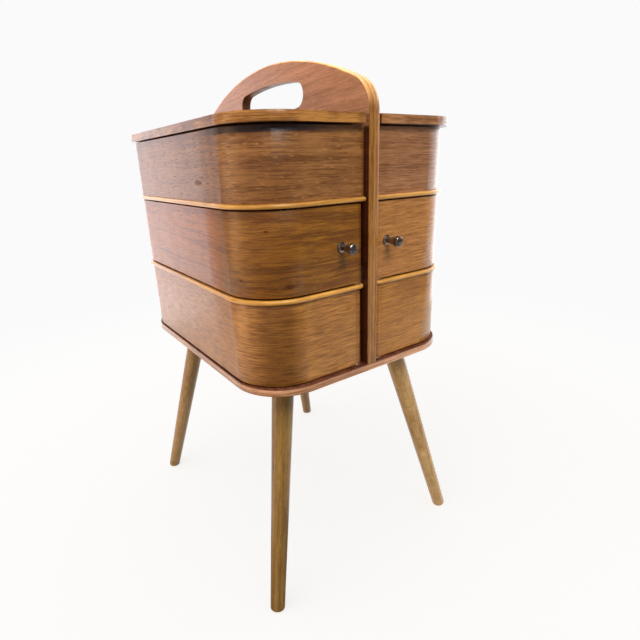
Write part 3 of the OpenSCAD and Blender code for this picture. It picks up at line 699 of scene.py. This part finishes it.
def dress_panel():
    along = (0.0, -math.cos(PANEL_SLOPE), math.sin(PANEL_SLOPE))
    across = (0.0, math.sin(PANEL_SLOPE), math.cos(PANEL_SLOPE))
    panel_wood = wood("panel_walnut", PANEL, along=(along, X_AXIS), across=across, contrast=0.5,
                      pore=0.3, line=0.5, tone_changes=(covered_painted_shade,))
    dress("centre_panel", panel_wood)
    edge_wood = wood("panel_edge_wood", PANEL_EDGE, along=(Y_AXIS, Z_AXIS), across=X_AXIS, pore=0.3,
                     wave=0.5 * MM, tone_changes=(arch_painted_light,))
    dress("panel_edging", edge_wood)


def dress_metal():
    for name in ("panel_screws", "leg_bolts", "pivot_brackets", "side_screws", "bottom_tray_rods",
                 "middle_tray_rods", "pivot_washers", "hinge_pins"):
        dress(name, PLAIN_STEEL, METAL_EASE)
    dress("hinge_panel_leaves", DULL_BRASS, METAL_EASE)


def add_object(name, data):
    added = bpy.data.objects.new(name, data)
    bpy.context.scene.collection.objects.link(added)
    return added


def seen_by_camera(tree, path):
    """1 for what the camera sees, straight or through glass, and 0 for other light."""
    return tree.math("MAXIMUM", path.outputs["Is Camera Ray"], path.outputs["Is Transmission Ray"])


def floor_material():
    """Pale near the box, and the background's own colour away from it."""
    material, tree = new_material("floor")
    path = tree.add("ShaderNodeLightPath")
    camera = seen_by_camera(tree, path)
    reflected = path.outputs["Is Glossy Ray"]

    distance = tree.vmath("LENGTH", tree.place())
    far = tree.math("MULTIPLY", tree.span(distance, *FLOOR_FADES), tree.math("SUBTRACT", 1.0, reflected))
    far = tree.math("MULTIPLY_ADD", tree.span(distance, *FLOOR_FADES_MIRRORED), reflected, far)
    heading = tree.vmath("DOT_PRODUCT", tree.vmath("NORMALIZE", tree.place()), AHEAD)
    glare = tree.math("MULTIPLY", reflected, tree.span(heading, *GLARE_BEGINS, 0.0, FLOOR_GLARE))

    near = tree.add("ShaderNodeAddShader")
    tree.link(tree.shader("ShaderNodeBsdfDiffuse", Color=FLOOR_NEAR), near.inputs[0])
    lift = tree.math("MAXIMUM", camera, glare)
    tree.link(tree.shader("ShaderNodeEmission", Color=FLOOR_LIFT, Strength=lift), near.inputs[1])
    open_air = tree.shader("ShaderNodeBsdfTransparent")
    glow = tree.shader("ShaderNodeEmission", Color=BACKGROUND)
    tree.surface(tree.mix_shaders(far, near.outputs[0], tree.mix_shaders(camera, open_air, glow)))
    return material


def make_floor():
    """A pale floor that fades into the background away from the box."""
    mesh = bpy.data.meshes.new("floor")
    half = FLOOR_SIZE / 2
    corners = [(-half, -half, 0), (half, -half, 0), (half, half, 0), (-half, half, 0)]
    mesh.from_pydata(corners, [], [(0, 1, 2, 3)])
    mesh.materials.append(floor_material())
    floor = add_object("floor", mesh)
    return floor


def make_world():
    """A plain background for the camera, the room for reflections, and a soft fill for the rest."""
    world = bpy.data.worlds.new("studio")
    bpy.context.scene.world = world
    world.use_nodes = True
    tree = Tree(world.node_tree)
    path = tree.add("ShaderNodeLightPath")
    direction = tree.add("ShaderNodeTexCoord").outputs["Generated"]

    def towards(axis):
        return tree.vmath("DOT_PRODUCT", direction, axis)

    leftward = tree.math("MAXIMUM", towards((-1.0, 0.0, 0.0)), 0.0)
    strength = tree.math("MULTIPLY_ADD", tree.math("MULTIPLY", leftward, leftward), FILL_LEFT,
                         tree.span(towards(Z_AXIS), *HORIZON, FILL_BELOW, FILL_ABOVE))
    fill = tree.shader("ShaderNodeBackground", Color=FILL_TINT, Strength=strength)
    strength = tree.span(towards(AHEAD), *BRIGHT_BEGINS, DARK_SIDE, BRIGHT_SIDE)
    room = tree.shader("ShaderNodeBackground", Color=BACKGROUND, Strength=strength)
    backdrop = tree.shader("ShaderNodeBackground", Color=BACKGROUND)
    unseen = tree.mix_shaders(path.outputs["Is Glossy Ray"], fill, room)
    tree.surface(tree.mix_shaders(seen_by_camera(tree, path), unseen, backdrop), "ShaderNodeOutputWorld")


def soft_light(name, azimuth, elevation, distance, width, height, radiance, colour):
    """A softbox that faces the box and that the camera doesn't see."""
    data = bpy.data.lights.new(name, "AREA")
    data.shape = "RECTANGLE"
    data.size = width
    data.size_y = height
    data.energy = radiance * math.pi * width * height
    data.color = colour
    lamp = add_object(name, data)
    turn = math.radians(azimuth)
    rise = math.radians(elevation)
    away = Vector((math.sin(turn) * math.cos(rise), math.cos(turn) * math.cos(rise), math.sin(rise)))
    lamp.location = LAMPS_AIM + away * distance
    lamp.rotation_euler = away.to_track_quat("Z", "Y").to_euler()
    lamp.visible_camera = False
    return lamp


def keep_off(lamp, thing):
    """Stops a lamp from lighting one object, which still shows the world's light and shadows."""
    group = bpy.data.collections.new(f"{lamp.name} keeps off")
    group.objects.link(thing)
    group.collection_objects[0].light_linking.link_state = "EXCLUDE"
    lamp.light_linking.receiver_collection = group


def make_camera():
    data = bpy.data.cameras.new("camera")
    camera = add_object("camera", data)
    data.sensor_width = SENSOR_WIDTH
    data.lens = CAMERA_LENS
    data.clip_start = CAMERA_NEAR
    data.clip_end = CAMERA_FAR
    forward = Vector((
        math.sin(CAMERA_YAW) * math.cos(CAMERA_PITCH),
        math.cos(CAMERA_YAW) * math.cos(CAMERA_PITCH),
        -math.sin(CAMERA_PITCH),
    ))
    level = Vector((math.cos(CAMERA_YAW), -math.sin(CAMERA_YAW), 0))
    upright = level.cross(forward)
    right = level * math.cos(CAMERA_ROLL) + upright * math.sin(CAMERA_ROLL)
    up = upright * math.cos(CAMERA_ROLL) - level * math.sin(CAMERA_ROLL)
    turn = Matrix((right, up, -forward)).transposed()
    camera.matrix_world = Matrix.Translation(CAMERA_POS) @ turn.to_4x4()
    bpy.context.scene.camera = camera


dress_base()
dress_panel()
dress_trays()
dress_lids()
dress_metal()

floor = make_floor()
make_world()
for name, settings in LAMPS.items():
    keep_off(soft_light(name, *settings), floor)
make_camera()
bpy.context.scene.view_settings.view_transform = "Standard"
